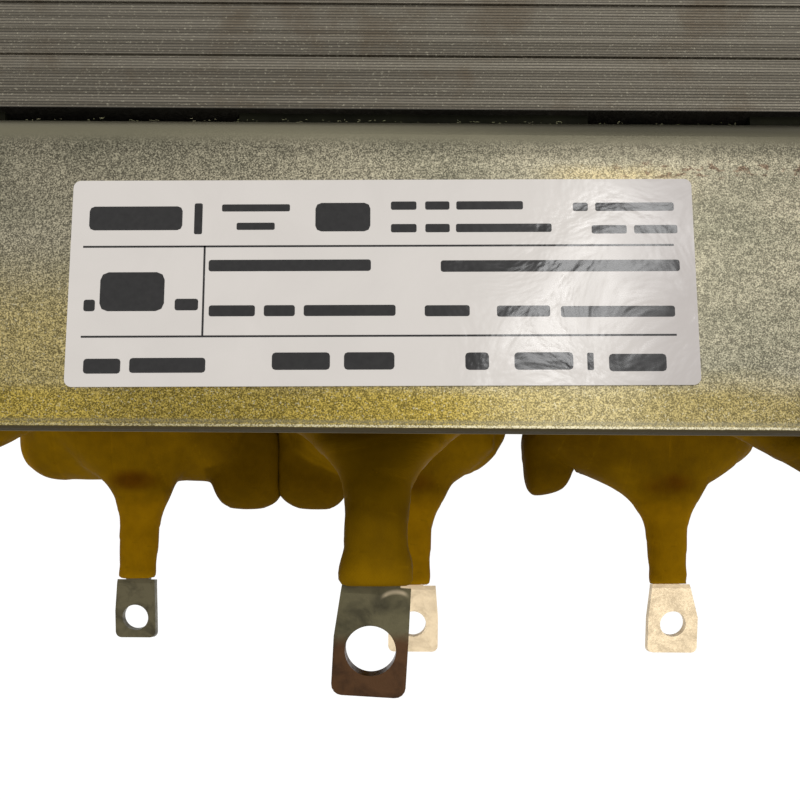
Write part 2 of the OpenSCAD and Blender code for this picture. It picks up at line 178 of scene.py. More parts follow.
# galvanised sheet of the clamping frame
sheet = {
    "on": ["top_angle_front", "top_angle_rear", "bottom_angle_front", "bottom_angle_rear",
           "tie_strap_front_left", "tie_strap_front_right", "tie_strap_rear_left", "tie_strap_rear_right"],
    "zinc": (0.235, 0.212, 0.150),
    "dull": (0.150, 0.140, 0.098),
    "varnished": (0.225, 0.168, 0.036),
    # painted shade on the steep part of the bend
    "bend": (0.150, 0.138, 0.092),
    # painted glints: the bright points of the zinc's grain and the whitish patch on the front strip
    "paintedGlint": (0.50, 0.46, 0.33),
    # painted highlight: a gold glow on the shelf behind the label, towards the right
    "goldHighlight": (0.40, 0.32, 0.16),
    "stain": (0.085, 0.048, 0.030),
    "burr": (0.50, 0.46, 0.33),
    "edge": (0.048, 0.038, 0.020),
    "lip": (0.27, 0.22, 0.13),
    "metal": 0.85,
    "grain": 3900,
    "speck": (0.40, 0.66, 0.42, 1.92),
    # how strongly each tint, painted highlight and painted shade shows
    "share": {"goldHighlight": 0.5, "rear": 0.12, "middle": 0.08, "dark": 0.12, "paleHighlight": 0.12, "left": 0.42,
              "stain": 0.7, "bend": 0.85, "right": 0.1, "rim": 0.5, "lip": 0.8},
    # zones: from and to, then a soft margin or the two end values
    "face": (shelfTop - 0.5 * mm, shelfTop - 0.1 * mm),
    "varnishY": (-77 * mm, -82.5 * mm),
    "varnishX": (8 * mm, 40 * mm, 1, 0.62),
    "leftX": (-38 * mm, -49 * mm),
    "leftY": (-55 * mm, -72 * mm, 0, 0.6),
    "goldHighlightX": (34 * mm, 53 * mm, 6 * mm),
    "goldHighlightY": (-48 * mm, -42.5 * mm, 1.2 * mm),
    "rearY": (-54 * mm, -47 * mm),
    "middleX": (-10 * mm, 22 * mm, 8 * mm),
    "stripY": (-78 * mm, -81 * mm),
    "darkX": (-40 * mm, -12 * mm, 6 * mm),
    # painted highlight on the front strip
    "paleHighlightX": (16 * mm, 42 * mm, 7 * mm),
    "stainX": (34 * mm, 42 * mm),
    "stainY": (-45.2 * mm, -42.4 * mm, 0.7 * mm),
    "bendOut": (shelfBend + 2.4 * mm, shelfBend - 0.3 * mm),
    "bendZ": (shelfTop - 5 * mm, shelfTop - 4 * mm),
    "bendX": (-20 * mm, 45 * mm, 0, 0.55),
    "rightX": (38 * mm, 50 * mm),
    "belowOut": (shelfBend + 0.8 * mm, shelfBend + 3.6 * mm, 1.2 * mm),
    "belowX": (-20 * mm, 40 * mm, 0.16, 0.38),
    "rimOut": (shelfFront - 1.6 * mm, shelfFront - 1.0 * mm, 0.3 * mm),
    "burrOut": (shelfFront - 0.85 * mm, shelfFront - 0.5 * mm, 0.1 * mm),
    "burrX": (-55 * mm, 15 * mm, 0.45, 0.95),
    "shearedOut": (shelfFront - 0.5 * mm, shelfFront - 0.38 * mm),
    "shearedZ": (shelfTop - 4 * mm, shelfTop - 3 * mm),
    "lipZ": (shelfTop - sheetT + 0.28 * mm, shelfTop - sheetT + 0.12 * mm),
}


# the place on the sheet, the shelf's face and strip, and the noises that the tints share
def sheetPlace(start):
    where = place(start)
    x, y, z = split(start, where)
    face = rise(start, z, *sheet["face"])
    return SimpleNamespace(
        where=where, x=x, y=y, z=z, out=start.math("ABSOLUTE", y), face=face,
        strip=rise(start, y, *sheet["stripY"]) * face,
        grain=noiseOf(start, where, sheet["grain"], 2, 0.75),
        patch=noiseOf(start, where, sheet["grain"] * 0.3, 2, 0.6),
        cloud=noiseOf(start, stretched(start, where, (22, 60, 60)), 1, 4, 0.6))


# varnish along the front and the left end, which is also made lighter; a painted gold highlight at the
# right; painted shade towards the rear; a painted whitish highlight on the front strip; lighter and darker
# stretches; stain spots
def shelfTints(start, at, tone):
    share = sheet["share"]
    varnish = rise(start, at.y + (at.cloud - 0.5) * (9 * mm), *sheet["varnishY"]) * at.face
    varnish = varnish * rise(start, at.x, *sheet["varnishX"])
    left = rise(start, at.x, *sheet["leftX"]) * rise(start, at.y, *sheet["leftY"]) * at.face
    tone = blend(start, start.math("MAXIMUM", varnish, left), tone, sheet["varnished"])
    # painted highlight: a gold glow towards the right, behind the label
    goldHighlight = between(start, at.x + at.cloud * (10 * mm), *sheet["goldHighlightX"])
    goldHighlight = goldHighlight * between(start, at.y + at.patch * (2 * mm), *sheet["goldHighlightY"])
    tone = blend(start, goldHighlight * at.face * share["goldHighlight"], tone, sheet["goldHighlight"])
    # painted shade: darker towards the rear of the shelf, less in the middle
    rear = rise(start, at.y, *sheet["rearY"]) * at.face
    middle = between(start, at.x, *sheet["middleX"])
    tone = scaled(start, tone, 1 - rear * (share["rear"] - middle * share["middle"]))
    dark = at.strip * between(start, at.x, *sheet["darkX"])
    tone = scaled(start, tone, 1 - dark * share["dark"])
    # painted highlight: a whitish patch on the front strip
    paleHighlight = at.strip * between(start, at.x, *sheet["paleHighlightX"])
    tone = blend(start, paleHighlight * share["paleHighlight"], tone, sheet["paintedGlint"])
    tone = scaled(start, tone, 1 + left * share["left"])
    spots = noiseOf(start, stretched(start, at.where, (500, 900, 900)), 1, 3, 0.6)
    spotted = between(start, at.y, *sheet["stainY"]) * rise(start, at.x, *sheet["stainX"]) * at.face
    return blend(start, rise(start, spots, 0.54, 0.62) * spotted * share["stain"], tone, sheet["stain"])


# the zinc's grain and painted glints, which fade out on the bend, and painted shade along the bend, in
# front of it and towards the right
def grainAndBend(start, at, tone):
    share = sheet["share"]
    speck = rise(start, at.grain * 0.8 + at.patch * 0.2, *sheet["speck"])
    bend = rise(start, at.out, *sheet["bendOut"]) * rise(start, at.z, *sheet["bendZ"])
    tone = scaled(start, tone, 1 + (speck - 1) * (1 - bend * 0.8))
    # painted glints on the grain
    paintedGlint = rise(start, noiseOf(start, at.where, sheet["grain"] * 0.8, 1, 0.5), 0.62, 0.74, 0, 0.5)
    tone = blend(start, paintedGlint * (1 - bend), tone, sheet["paintedGlint"])
    # painted shade on the bend
    tone = blend(start, bend * share["bend"], tone, sheet["bend"])
    # painted shade: the right end of the front strip and the bend darker towards the right
    right = rise(start, at.x, *sheet["rightX"]) * at.face * at.strip
    onBend = bend * rise(start, at.x, *sheet["bendX"])
    tone = scaled(start, tone, 1 - (right * share["right"] + onBend))
    # painted shade just in front of the bend
    below = between(start, at.out, *sheet["belowOut"]) * at.face
    return scaled(start, tone, 1 - below * rise(start, at.x, *sheet["belowX"]))


# dull rim, broken burr, and the sheared edge with its bright lower lip
def frontEdge(start, at, tone):
    share = sheet["share"]
    wander = at.patch - 0.5
    rim = between(start, at.out, *sheet["rimOut"]) * at.face
    tone = blend(start, rim * share["rim"], tone, sheet["dull"])
    burr = between(start, at.out + wander * (0.2 * mm), *sheet["burrOut"]) * at.face
    rough = rise(start, at.grain, 0.44, 0.56, 0.25, 1.0) * rise(start, at.x, *sheet["burrX"])
    tone = blend(start, burr * rough, tone, sheet["burr"])
    sheared = rise(start, at.out + wander * (0.15 * mm), *sheet["shearedOut"])
    sheared = sheared * rise(start, at.z, *sheet["shearedZ"])
    tone = blend(start, sheared, tone, sheet["edge"])
    lip = sheared * rise(start, at.z, *sheet["lipZ"])
    return blend(start, lip * share["lip"], tone, sheet["lip"]), sheared


def galvanisedSheet():
    material, start, shader = newMaterial("galvanisedSheet", Specular_IOR_Level=0.1)
    at = sheetPlace(start)
    tone = blend(start, rise(start, at.cloud, 0.34, 0.62), sheet["dull"], sheet["zinc"])
    tone = shelfTints(start, at, tone)
    tone = grainAndBend(start, at, tone)
    tone, sheared = frontEdge(start, at, tone)
    feed(shader, "Base Color", tone)
    feed(shader, "Metallic", (1 - sheared) * sheet["metal"])
    feed(shader, "Roughness", rise(start, at.grain, 0.3, 0.7, 0.34, 0.50) + sheared * 0.4)
    feed(shader, "Normal", bump(start, at.grain + at.cloud * 0.3, 0.03 * mm, 0.6))
    return material


# laminated core
stack = {
    "on": ["core_comb", "core_yoke"],
    "sheetT": 0.5 * mm,
    "half": 33 * mm,
    "steel": (0.085, 0.073, 0.052),
    "light": (0.150, 0.132, 0.100),
    "speck": (0.36, 0.33, 0.25),
    "stain": (0.07, 0.045, 0.02),
    "line": (0.015, 0.013, 0.009),
    "lineShare": 0.8,
    # painted shade: the outermost sheets are darker, for the shadow in the slits between the core and the
    # angles
    "paintedSlitShade": 0.7,      # how much darker the outermost sheets are
}


def laminatedSteel():
    material, start, shader = newMaterial("laminatedSteel", Metallic=0.6)
    where = place(start)
    y = split(start, where)[1]
    wobble = noiseOf(start, stretched(start, where, (30, 3000, 30)), 1, 2)
    wave = start.math("PINGPONG", y + wobble * (0.08 * mm), stack["sheetT"] / 2)
    seam = rise(start, wave, 0.09 * mm, 0.02 * mm)
    perSheet = noiseOf(start, stretched(start, where, (6, 1900, 6)), 1, 1)
    speck = noiseOf(start, where, 1900, 3, 0.7)
    tone = blend(start, rise(start, perSheet, 0.35, 0.65), stack["steel"], stack["light"])
    tone = blend(start, rise(start, speck, 0.54, 0.74, 0, 0.7), tone, stack["speck"])
    stain = rise(start, noiseOf(start, where, 90, 4, 0.6), 0.5, 0.75, 0, 0.5)
    tone = blend(start, stain, tone, stack["stain"])
    tone = blend(start, seam * stack["lineShare"], tone, stack["line"])
    # painted shade on the outermost sheets, for the shadow in the slits
    outer = rise(start, start.math("ABSOLUTE", y), stack["half"] - 0.25 * mm, stack["half"] - 0.05 * mm)
    tone = scaled(start, tone, 1 - outer * stack["paintedSlitShade"])
    feed(shader, "Base Color", tone)
    feed(shader, "Roughness", rise(start, speck, 0.3, 0.7, 0.4, 0.65))
    feed(shader, "Normal", bump(start, speck * 0.4 - seam, 0.12 * mm, 0.8))
    return material


# varnished glass tape round the coils and their leads
tape = {
    "yellow": (0.194, 0.101, 0.0010),
    "deep": (0.118, 0.060, 0.0008),
    "rust": (0.095, 0.032, 0.0006),
    # painted shade for the low lobes between the coils
    "lobe": (0.108, 0.055, 0.0005),
    "bright": (0.315, 0.158, 0.0012),
    # painted light: the left coil's outer side is lighter, as if lit from the left
    "litSideX": (-126 * mm, -136 * mm, 0, 0.7),      # the left coil's outer side
    "shadedY": (-107 * mm, -95 * mm, 2.5 * mm),     # the start leads' sleeves
    "shadedZ": (150 * mm, 170 * mm),
    "shade": 0.26,
    "coilPitch": 11 * mm,
    "coilLean": 0.12,
    "leadPitch": 9 * mm,
    "leadLean": 1.4 * mm,
    "leadRadius": 7 * mm,
    "step": 0.22 * mm,
    "lump": 0.55 * mm,
    "threads": 0.7 * mm,
    "voxel": 1.2 * mm,
    "rounds": (4, 22),      # smoothing of the whole coil, then of its front
    "soft": (57 * mm, 82 * mm),     # reach of that front before the core's middle
    "grow": 0.22 * mm,
    "waistGrow": 0.3 * mm,
    "waist": (90 * mm, 95 * mm, 99 * mm, 104 * mm),     # where the leads stand a little fuller
    "endGrow": 0.7 * mm,        # at head and foot, to make up for the smoothing
    "endDepth": (2 * mm, 7 * mm),
    "endFrom": (-60 * mm, -54 * mm),
    "half": (43 * mm, 54.5 * mm),       # half the width and depth of a coil
    "middleZ": 130 * mm,        # between the start and finish leads
    "startZ": 215 * mm,
    "finishZ": 77.5 * mm,
    "leadFrom": (76 * mm, 86 * mm),
    "lobeTop": 71.5 * mm,
    "lobeLength": 34 * mm,
    "lobeGrow": 2.2 * mm,
    "lobesMeet": -40.8 * mm,
    "clear": 0.04 * mm,
    "rootPlace": (-1 * mm, -75 * mm),       # from the finish lead's middle, and in depth
    "rootSize": (9 * mm, 4 * mm),
    "coils": {
        "left": {"limbX": -96 * mm, "startX": 0.0, "finishX": 8.3 * mm,
                 "lobeX": 42.5 * mm, "lobeWide": 24.6 * mm, "lobeFront": 82.8 * mm, "slant": 0.0},
        "centre": {"limbX": 0.0, "startX": -0.2 * mm, "finishX": 8.5 * mm,
                   "lobeX": -27.6 * mm, "lobeWide": 25.6 * mm, "lobeFront": 82.6 * mm, "slant": 0.0},
        "right": {"limbX": 96 * mm, "startX": 0.0, "finishX": 2.1 * mm,
                  "lobeX": -36.4 * mm, "lobeWide": 19 * mm, "lobeFront": 76.6 * mm, "slant": 0.28},
    },
}


def varnishedTape():
    material, start, shader = newMaterial("varnishedTape", Specular_IOR_Level=0.01)
    where = place(start)
    x, y, z = split(start, where)
    wound = start.node("ShaderNodeAttribute", {"attribute_name": "tapePlace"}, output="Vector")
    along, across, lap = split(start, wound)
    tint = start.node("ShaderNodeAttribute", {"attribute_name": "tapeTint"}, output="Vector")
    lobe, root, lead = split(start, tint)
    turn = 2 * math.pi / tape["threads"]
    weave = start.math("SINE", along * turn) * start.math("SINE", across * turn)
    cloud = noiseOf(start, where, 26, 3, 0.5, 0.4)
    fine = noiseOf(start, where, 260, 3, 0.6)
    tone = blend(start, rise(start, cloud, 0.34, 0.66), tape["yellow"], tape["deep"])
    tone = blend(start, lead * 0.75, tone, tape["bright"])
    tone = blend(start, rise(start, lap, 0.90, 1.0, 0, 0.3), tone, tape["deep"])
    tone = blend(start, rise(start, lap, 0.10, 0.0, 0, 0.2), tone, tape["bright"])
    rust = root * rise(start, noiseOf(start, where, 90, 2, 0.5), 0.25, 0.6, 0.3, 0.9)
    tone = blend(start, rust, tone, tape["rust"])
    # painted shade: the low lobes between the coils are darker
    tone = blend(start, lobe, tone, tape["lobe"])
    # painted light on the left coil's outer side
    tone = blend(start, rise(start, x, *tape["litSideX"]), tone, tape["bright"])
    shaded = between(start, y, *tape["shadedY"]) * rise(start, z, *tape["shadedZ"])
    tone = scaled(start, tone, 1 - shaded * tape["shade"])
    tone = scaled(start, tone, rise(start, fine, 0.3, 0.7, 0.92, 1.08))
    feed(shader, "Base Color", tone)
    feed(shader, "Roughness", rise(start, fine, 0.3, 0.7, 0.52, 0.7))
    height = bump(start, weave * 0.5 + fine, 0.05 * mm, 0.5)
    feed(shader, "Normal", bump(start, cloud, 0.6 * mm, 0.25, height))
    return material


# bare lugs
lugMetal = {
    "metal": 0.55,
    "tintY": -120.8 * mm,       # tinted from here to the tip
    # a darker spot and a painted highlight in a bright streak on the centre coil's start lug, and the
    # heights that tell it apart
    "upperZ": (150 * mm, 170 * mm),
    "darkSpot": (0.9 * mm, -114.2 * mm, 2.6 * mm),        # middle and radius
    "darkSpotShade": 0.42,
    "lugHighlightMidX": 3.6 * mm,
    "lugHighlightX": (1.2 * mm, 5.5 * mm, 0.7 * mm),
    "lugHighlightY": (-112.35 * mm, -111.65 * mm, 0.3 * mm),
    "lugHighlightBow": 130,
    "lugHighlightShare": 0.34,
    "lugHighlightTone": (0.72, 0.58, 0.385),
    "finishes": {
        "startLug": {
            "on": ["start_lug_left", "start_lug_centre", "start_lug_right"],
            "bare": (0.072, 0.062, 0.032), "tinted": (0.050, 0.022, 0.007),
            "soft": 1.6 * mm, "gloss": 0.38, "mottle": 0.45},
        # painted light: the centre and right finish lugs are near white for how brightly they are lit
        "litCreamLug": {
            "on": ["finish_lug_centre", "finish_lug_right"],
            "bare": (0.72, 0.58, 0.385), "tinted": (0.72, 0.58, 0.385),
            "soft": 1 * mm, "gloss": 0.45, "mottle": 0.1},
        "oliveLug": {
            "on": ["finish_lug_left"],
            "bare": (0.105, 0.090, 0.050), "tinted": (0.105, 0.090, 0.050),
            "soft": 1 * mm, "gloss": 0.4, "mottle": 0.45},
    },
}


def lugFinish(name, row):
    material, start, shader = newMaterial(name, Metallic=lugMetal["metal"], Specular_IOR_Level=0.2)
    where = place(start)
    x, y, z = split(start, where)
    gloss, mottle, edgeY = row["gloss"], row["mottle"], lugMetal["tintY"]
    cloud = noiseOf(start, where, 160, 4, 0.6, 0.5)
    fine = noiseOf(start, where, 1400, 2, 0.6)
    edge = rise(start, y + (cloud - 0.5) * (4 * mm), edgeY + row["soft"], edgeY - row["soft"])
    tone = blend(start, edge, row["bare"], row["tinted"])
    tone = scaled(start, tone, rise(start, cloud, 0.4, 0.7, 1 + mottle * 0.3, 1 - mottle))
    upper = rise(start, z, *lugMetal["upperZ"])
    midX, midY, radius = lugMetal["darkSpot"]
    far = start.math("SQRT", (x - midX) * (x - midX) + (y - midY) * (y - midY)) + (cloud - 0.5) * (2 * mm)
    darkSpot = rise(start, far, radius, radius * 0.3) * upper
    tone = scaled(start, tone, 1 - darkSpot * lugMetal["darkSpotShade"])
    # painted highlight: a bright curved streak near the sleeve
    midX = lugMetal["lugHighlightMidX"]
    bowed = y + (x - midX) * (x - midX) * lugMetal["lugHighlightBow"]
    lugHighlight = between(start, bowed, *lugMetal["lugHighlightY"]) * between(start, x, *lugMetal["lugHighlightX"]) * upper
    tone = blend(start, lugHighlight * lugMetal["lugHighlightShare"], tone, lugMetal["lugHighlightTone"])
    feed(shader, "Base Color", tone)
    feed(shader, "Roughness", rise(start, fine + cloud, 0.7, 1.3, gloss - 0.08, gloss + 0.15))
    feed(shader, "Normal", bump(start, fine * 0.3 + cloud, 0.12 * mm, 0.5))
    return material


# plain finishes: two tones, the size of their clouds, roughness, metal and specular level
finishes = {
    "zincPlate": {
        "on": ["spacer_tubes", "clamp_bolts", "clamp_washers", "clamp_nuts"],
        "tones": ((0.42, 0.42, 0.40), (0.30, 0.30, 0.28)),
        "cloud": 90, "gloss": 0.35, "metal": 0.9, "shine": 0.5},
    # painted shade: the boards are near black, darker than board is, for the deep shadow in the slits where
    # they sit
    "shadedInsulatingBoard": {
        "on": ["pads_top_front", "pads_top_rear", "pads_bottom_front", "pads_bottom_rear",
               "gap_plate_left", "gap_plate_centre", "gap_plate_right"],
        "tones": ((0.005, 0.005, 0.003), (0.009, 0.009, 0.005)),
        "cloud": 120, "gloss": 0.7, "metal": 0.0, "shine": 0.03},
    "pressboard": {
        "on": ["former_left", "former_centre", "former_right",
               "duct_sticks_left", "duct_sticks_centre", "duct_sticks_right"],
        "tones": ((0.30, 0.20, 0.09), (0.22, 0.14, 0.06)),
        "cloud": 70, "gloss": 0.6, "metal": 0.0, "shine": 0.5},
    "copperBar": {
        "on": ["winding_left", "winding_centre", "winding_right"],
        "tones": ((0.70, 0.36, 0.20), (0.55, 0.26, 0.14)),
        "cloud": 60, "gloss": 0.35, "metal": 0.9, "shine": 0.5},
    "fibre": {
        "on": [],
        "tones": ((0.36, 0.33, 0.20), (0.24, 0.25, 0.12)),
        "cloud": 300, "gloss": 0.8, "metal": 0.0, "shine": 0.5},
}


def plainFinish(name, row):
    material, start, shader = newMaterial(name, Metallic=row["metal"], Specular_IOR_Level=row["shine"])
    where = place(start)
    cloud = noiseOf(start, where, row["cloud"], 4, 0.6)
    fine = noiseOf(start, where, row["cloud"] * 12, 2, 0.6)
    feed(shader, "Base Color", blend(start, rise(start, cloud, 0.3, 0.7), *row["tones"]))
    feed(shader, "Roughness", rise(start, fine, 0.3, 0.7, row["gloss"] - 0.08, row["gloss"] + 0.12))
    feed(shader, "Normal", bump(start, fine, 0.05 * mm, 0.6))
    return material


# rating label: a white film with ruled lines and rounded bars
label = {
    "middle": (1.2 * mm, -63 * mm),
    "size": (99.5 * mm, 34 * mm),
    "turn": 0.6,
    "film": (0.65, 0.61, 0.57),
    "shaded": (0.50, 0.462, 0.438),
    "shadedX": (36 * mm, 52 * mm),
    "ink": (0.018, 0.017, 0.017),
    "worn": (0.032, 0.031, 0.030),
    "inkT": 0.02 * mm,
    "wave": 0.45 * mm,
    "corner": 0.2,      # of a bar's shorter side
    # below here in millimetres from the label's top left corner
    "rule": 0.32,
    # ruled lines: left, top, right, bottom
    "rules": [(2.0, 10.9, 96.2, 11.4), (2.3, 25.7, 96.0, 26.2), (21.3, 11.0, 21.5, 25.8)],
    # bars: left, top, width, height
    "bars": [
        (2.8, 4.4, 14.9, 4.0), (19.6, 3.9, 1.3, 5.2), (24.0, 4.1, 10.9, 1.2), (26.4, 7.2, 6.1, 1.2),
        (39.0, 3.9, 8.8, 4.8),
        (51.1, 3.7, 4.1, 1.4), (56.6, 3.7, 3.9, 1.4), (61.6, 3.7, 10.7, 1.4),
        (51.1, 7.5, 4.1, 1.4), (56.6, 7.5, 3.9, 1.4), (61.5, 7.5, 15.3, 1.4),
        (80.3, 4.0, 2.4, 1.4), (83.9, 4.0, 12.6, 1.4), (83.2, 7.8, 5.6, 1.4), (90.0, 7.8, 6.9, 1.4),
        (5.0, 15.4, 10.2, 6.4), (2.5, 19.9, 1.8, 1.9), (16.9, 19.8, 3.7, 1.9),
        (22.1, 13.4, 25.8, 1.9), (59.0, 13.6, 38.0, 1.9),
        (22.3, 20.9, 7.3, 1.8), (31.0, 20.9, 4.9, 1.8), (37.3, 20.9, 14.5, 1.8), (56.4, 21.0, 7.1, 1.8),
        (67.8, 21.1, 8.4, 1.8), (77.9, 21.2, 18.0, 1.8),
        (2.9, 29.5, 5.8, 2.4), (10.1, 29.4, 11.9, 2.4), (32.4, 28.6, 9.1, 2.8), (43.7, 28.6, 7.9, 2.8),
        (62.7, 28.7, 3.7, 2.8), (70.4, 28.7, 9.2, 2.8), (81.8, 28.8, 1.0, 2.8), (85.2, 29.0, 9.0, 2.8)],
}


def labelWave(start, where):
    return noiseOf(start, where, 75, 4, 0.55, 0.5)


def labelFilm():
    material, start, shader = newMaterial("labelFilm", Specular_IOR_Level=0.14)
    where = place(start)
    x = split(start, where)[0]
    wave = labelWave(start, where)
    fine = noiseOf(start, where, 900, 2, 0.5)
    shaded = rise(start, x + wave * (6 * mm), *label["shadedX"])
    tone = blend(start, shaded, label["film"], label["shaded"])
    feed(shader, "Base Color", scaled(start, tone, rise(start, wave, 0.3, 0.7, 1.0, 0.96)))
    feed(shader, "Roughness", rise(start, wave, 0.35, 0.65, 0.13, 0.22))
    feed(shader, "Normal", bump(start, wave + fine * 0.03, label["wave"], 0.6))
    return material


def labelInk():
    material, start, shader = newMaterial("labelInk", Roughness=0.16, Specular_IOR_Level=0.2)
    where = place(start)
    fine = noiseOf(start, where, 1200, 2, 0.5)
    feed(shader, "Base Color", blend(start, fine, label["ink"], label["worn"]))
    feed(shader, "Normal", bump(start, labelWave(start, where), label["wave"], 0.6))
    return material


def clearSelection():
    if bpy.context.object and bpy.context.object.mode != "OBJECT":
        bpy.ops.object.mode_set(mode="OBJECT")
    bpy.ops.object.select_all(action="DESELECT")


def workOn(piece):
    clearSelection()
    piece.select_set(True)
    bpy.context.view_layer.objects.active = piece


def joined(pieces):
    clearSelection()
    for piece in pieces:
        piece.select_set(True)
    bpy.context.view_layer.objects.active = pieces[0]
    bpy.ops.object.join()
    return pieces[0]


def settle(piece, name, material):
    workOn(piece)
    bpy.ops.object.transform_apply(location=True, rotation=True, scale=True)
    piece.name = name
    piece.data.materials.clear()
    piece.data.materials.append(material)
    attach(piece, "root")


# a ruled line as a thin bar along the middle of its own box
def ruleSpan(x0, y0, x1, y1):
    thick = label["rule"]
    if x1 - x0 > y1 - y0:
        return x0, (y0 + y1 - thick) / 2, x1 - x0, thick
    return (x0 + x1 - thick) / 2, y0, thick, y1 - y0


def inkBar(left, top, width, height):
    across, deep = label["size"]
    middle = (left + width / 2 - across / 2, deep / 2 - top - height / 2, 0)
    clearSelection()
    bpy.ops.mesh.primitive_plane_add(size=1, location=middle)
    bar = bpy.context.object
    bar.scale = (width, height, 1)
    bpy.ops.object.transform_apply(location=True, rotation=False, scale=True)
    bpy.ops.object.mode_set(mode="EDIT")
    bpy.ops.mesh.bevel(offset=min(width, height) * label["corner"], segments=2, affect="VERTICES")
    bpy.ops.mesh.select_all(action="SELECT")
    bpy.ops.mesh.extrude_region_move(TRANSFORM_OT_translate={"value": (0, 0, label["inkT"])})
    bpy.ops.object.mode_set(mode="OBJECT")
    return bar


def printLabel(material):
    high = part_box("label")[1]
    spans = label["bars"] + [ruleSpan(*rule) for rule in label["rules"]]
    printed = joined([inkBar(*[v * mm for v in span]) for span in spans])
    printed.rotation_euler.z = math.radians(label["turn"])
    printed.location = (*label["middle"], high.z)
    settle(printed, "label_print", material)
    print("label printed:", len(spans), "bars and lines")


# a softer copy of a taped coil, with the laps of its tape
def tapedCoil(name, material):
    source = nodes[f"wrap_{name}"]
    piece = source.copy()
    piece.data = source.data.copy()
    piece.parent = None
    bpy.context.scene.collection.objects.link(piece)
    workOn(piece)
    bpy.ops.object.mode_set(mode="EDIT")
    bpy.ops.mesh.select_all(action="SELECT")
    bpy.ops.mesh.remove_doubles(threshold=0.01 * mm)
    bpy.ops.object.mode_set(mode="OBJECT")
    remesh = piece.modifiers.new("remesh", "REMESH")
    remesh.mode = "VOXEL"
    remesh.voxel_size = tape["voxel"]
    bpy.ops.object.modifier_apply(modifier="remesh")
    front = piece.vertex_groups.new(name="front")
    near, far = tape["soft"]
    front.add([v.index for v in piece.data.vertices if near < -v.co.y < far], 1.0, "REPLACE")
    for group, rounds in zip(("", "front"), tape["rounds"]):
        soften = piece.modifiers.new("soften", "SMOOTH")
        soften.factor = 0.5
        soften.iterations = rounds
        soften.vertex_group = group
        bpy.ops.object.modifier_apply(modifier="soften")
    windTape(piece, tape["coils"][name])
    bpy.ops.object.shade_smooth()
    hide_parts(f"wrap_{name}")
    settle(piece, f"taped_coil_{name}", material)
    print(f"taped coil {name}:", len(piece.data.polygons), "faces")


# one lap of tape: the share of it that is past, and a height that climbs slowly and drops fast
def saw(value):
    turn = value - math.floor(value)
    return turn, min(turn / 0.9, (1 - turn) / 0.1)


def fade(value, low, high):
    share = min(max((value - low) / (high - low), 0), 1)
    return share * share * (3 - 2 * share)


# way round a coil's oblong section, from the middle of its front
def wayRound(x, y):
    halfX, halfY = tape["half"]
    reach = max(abs(x) / halfX, abs(y) / halfY, 0.2)
    px, py = x / reach, y / reach
    if abs(py) >= halfY * 0.999:
        return px if py < 0 else 2 * (halfX + halfY) - px
    return halfX + halfY + py if px > 0 else -halfX - halfY - py


# how far the tape stands out of the wrap, with its laps and lumps and the leads' fuller waist
def tapeHeight(co, along, lap):
    lump = noise.noise(co * 50) * tape["lump"] + noise.noise(co * 150) * tape["lump"] * 0.3
    swellFrom, swellFull, thinFrom, thinFull = tape["waist"]
    waist = fade(-co.y, swellFrom, swellFull) * fade(-co.y, thinFull, thinFrom) * tape["waistGrow"]
    return tape["grow"] + waist + (lap - 0.6) * tape["step"] + lump * (1 - along * 0.8)


# the coil's flat head and foot grow outwards, apart from its front
def growEnds(v, normal, y, z, foot, head):
    near, far = tape["endDepth"]
    onHead = fade(z, head - far, head - near)
    onFoot = fade(z, foot + far, foot + near)
    grow = tape["endGrow"] * fade(y, *tape["endFrom"])
    v.co += normal * (onHead + onFoot) * grow
    v.co.z += (onHead - onFoot) * grow


# shares of the lobe and of the rust at the finish lead's root
def footShares(coil, x, y, z):
    half = tape["lobeLength"] / 2
    reach = max(abs(x - coil["lobeX"]) / (coil["lobeWide"] / 2), abs(y + coil["lobeFront"] - half) / half)
    lobe = fade(reach, 1.16, 1.04) * fade(z, tape["lobeTop"] + 1 * mm, tape["lobeTop"])
    rootX, rootY = tape["rootPlace"]
    wide, deep = tape["rootSize"]
    reach = math.hypot((x - coil["finishX"] - rootX) / wide, (y - rootY) / deep)
    return lobe, fade(reach, 1.3, 0.3)


# the two middle lobes swell towards each other and stop at the plane where they meet
def pressLobes(v, normal, coil, lobe):
    side = -1 if coil["limbX"] < tape["lobesMeet"] else 1
    v.co.x -= max(-normal.x * side, 0) * side * lobe * tape["lobeGrow"]
    past = (v.co.x - tape["lobesMeet"]) * side
    v.co.x += max(tape["clear"] - past, 0) * side


